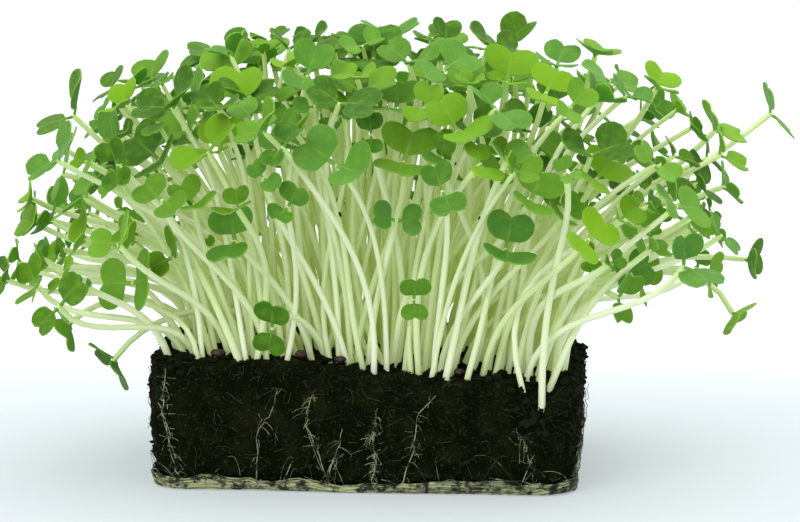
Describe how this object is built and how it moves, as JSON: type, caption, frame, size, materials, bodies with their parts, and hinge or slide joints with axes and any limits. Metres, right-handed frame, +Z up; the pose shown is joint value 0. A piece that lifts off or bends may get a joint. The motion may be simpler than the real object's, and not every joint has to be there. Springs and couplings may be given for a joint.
{
  "type": "microgreens on a soil block",
  "caption": "Dense stand of young sprouts with notched seed leaves, growing on a free-standing block of potting soil with a pale root mat.",
  "frame": {"origin": "the middle of the root mat's flat underside, on the surface that the block stands on", "axes": "+X along the block's front from left to right, +Y from the front to the back, +Z up"},
  "size_m": [0.1851, 0.1206, 0.1062],
  "materials": {
    "soil": "dark, moist, crumbly potting soil",
    "root_felt": "matte felt of fine pale roots",
    "sprout": "smooth living stem and leaf, pale green to deep green",
    "seed_husk": "dry dark husk"
  },
  "bodies": {
    "root": {"soil_block": "soil", "root_mat": "root_felt", "seed_husk_1": "seed_husk", "seed_husk_2": "seed_husk", "seed_husk_3": "seed_husk", "seed_husk_4": "seed_husk", "seed_husk_5": "seed_husk", "tuft_01": "sprout", "tuft_02": "sprout", "tuft_03": "sprout", "tuft_04": "sprout", "tuft_05": "sprout", "tuft_06": "sprout", "tuft_07": "sprout", "tuft_08": "sprout", "tuft_09": "sprout", "tuft_10": "sprout", "tuft_11": "sprout", "tuft_12": "sprout", "tuft_13": "sprout", "tuft_14": "sprout", "tuft_15": "sprout", "tuft_16": "sprout", "tuft_17": "sprout", "tuft_18": "sprout", "tuft_19": "sprout", "tuft_20": "sprout", "tuft_21": "sprout", "tuft_22": "sprout", "tuft_23": "sprout", "tuft_24": "sprout", "tuft_25": "sprout", "tuft_26": "sprout", "tuft_27": "sprout", "tuft_28": "sprout", "tuft_29": "sprout", "tuft_30": "sprout", "tuft_31": "sprout", "tuft_32": "sprout", "tuft_33": "sprout", "tuft_34": "sprout", "tuft_35": "sprout", "tuft_36": "sprout", "tuft_37": "sprout", "tuft_38": "sprout", "tuft_39": "sprout", "tuft_40": "sprout", "tuft_41": "sprout", "tuft_42": "sprout", "tuft_43": "sprout", "tuft_44": "sprout", "tuft_45": "sprout"}
  },
  "joints": []
}
